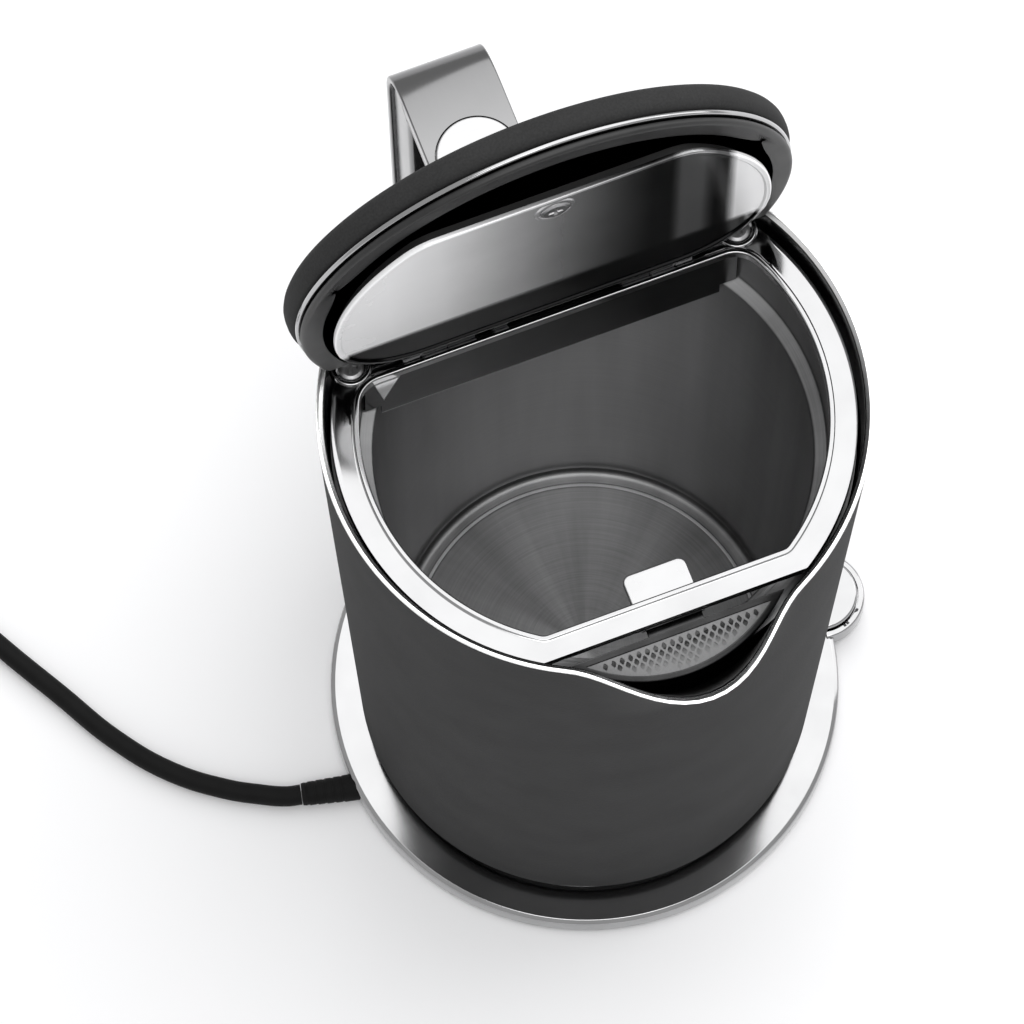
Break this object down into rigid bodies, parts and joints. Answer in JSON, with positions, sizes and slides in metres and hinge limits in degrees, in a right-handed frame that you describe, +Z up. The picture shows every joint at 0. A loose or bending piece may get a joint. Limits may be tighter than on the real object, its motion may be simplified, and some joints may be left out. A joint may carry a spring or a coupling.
{
  "type": "electric kettle",
  "caption": "Electric kettle with a tapered soft-touch jug, hinged round lid standing open, D-shaped metal handle, spout filter and round base with a cord.",
  "frame": {"origin": "on the common axis of the jug and its base, at table level, 1.5 mm below the underside of the base's cover", "axes": "+Z up along the axis, -Y towards the spout, +Y towards the handle, +X towards the switch at the base's edge"},
  "size_m": [0.3509, 0.2773, 0.3427],
  "materials": {
    "soft_touch": "fine-grained soft-touch black",
    "black_plastic": "satin black plastic",
    "black_rubber": "matt black rubber",
    "polished_steel": "polished stainless steel",
    "brushed_steel": "brushed stainless steel",
    "chrome": "bright satin chrome",
    "aluminium": "zinc-coated and cast metal",
    "brass": "plated brass pins"
  },
  "bodies": {
    "base": {"base_top_shell": "chrome", "base_lower_cover": "black_plastic", "base_connector_socket": "black_plastic", "base_foot_1": "black_rubber", "base_foot_2": "black_rubber", "base_foot_3": "black_rubber", "base_foot_4": "black_rubber", "base_screw_1": "aluminium", "base_screw_2": "aluminium", "base_screw_3": "aluminium", "strain_relief": "black_rubber", "power_cord": "black_rubber", "cord_coil": "black_rubber", "cord_tail": "black_rubber", "plug_body": "black_rubber", "plug_pin_1": "brass", "plug_pin_2": "brass"},
    "power_switch": {"power_button": "chrome"},
    "jug": {"outer_shell": "soft_touch", "rim_band": "polished_steel", "liner": "brushed_steel", "jug_bottom_cover": "black_plastic", "bottom_screw_1": "aluminium", "bottom_screw_2": "aluminium", "bottom_screw_3": "aluminium", "jug_connector": "black_plastic", "heating_plate": "aluminium", "thermostat_control": "black_plastic", "liner_support_ring": "black_plastic", "rim_ring": "chrome", "ring_screw_left": "aluminium", "ring_screw_right": "aluminium", "hinge_pin_left": "brushed_steel", "hinge_pin_right": "brushed_steel", "hinge_spring_left": "brushed_steel", "hinge_spring_right": "brushed_steel", "rear_baffle": "brushed_steel", "rear_cover": "soft_touch", "handle_skin": "polished_steel", "handle_core": "polished_steel", "handle_screw_1": "aluminium", "handle_screw_2": "aluminium", "handle_screw_3": "aluminium", "button_spring": "brushed_steel"},
    "release": {"release_button": "brushed_steel"},
    "latch": {"latch_rod": "brushed_steel"},
    "filter": {"filter_frame": "black_plastic", "filter_mesh": "brushed_steel"},
    "lid": {"lid_cap": "soft_touch", "lid_trim_ring": "chrome", "lid_gasket": "black_rubber", "lid_core": "black_plastic", "lid_pan": "polished_steel", "lid_pan_screw": "aluminium", "lid_arm_left": "aluminium", "lid_arm_right": "aluminium", "lid_latch_cam": "aluminium"}
  },
  "joints": [
    {"name": "jug_lift", "type": "slide", "parent": "base", "child": "jug", "axis": [0, 0, 1], "range_m": [0, 0.12]},
    {"name": "power_press", "type": "slide", "parent": "base", "child": "power_switch", "axis": [0, 0, -1], "range_m": [0, 0.0015], "stiffness_N_per_m": 400, "springref_m": -0.003},
    {"name": "lid_hinge", "type": "hinge", "parent": "jug", "child": "lid", "pos_m": [0, 0.0363, 0.2345], "axis": [1, 0, 0], "range_deg": [0, 90], "stiffness_Nm_per_rad": 0.08, "springref_deg": -34.38},
    {"name": "release_press", "type": "slide", "parent": "jug", "child": "release", "axis": [0, 0, -1], "range_m": [0, 0.0025], "stiffness_N_per_m": 400, "springref_m": -0.003, "deforming": ["button_spring"]},
    {"name": "latch_slide", "type": "slide", "parent": "jug", "child": "latch", "axis": [0, 1, 0], "range_m": [0, 0.0025]},
    {"name": "filter_slide", "type": "slide", "parent": "jug", "child": "filter", "axis": [0, 1, 0], "range_m": [0, 0.025]}
  ],
  "couplings": [
    {"joint": "latch_slide", "follows": "release_press", "ratio": 1}
  ]
}
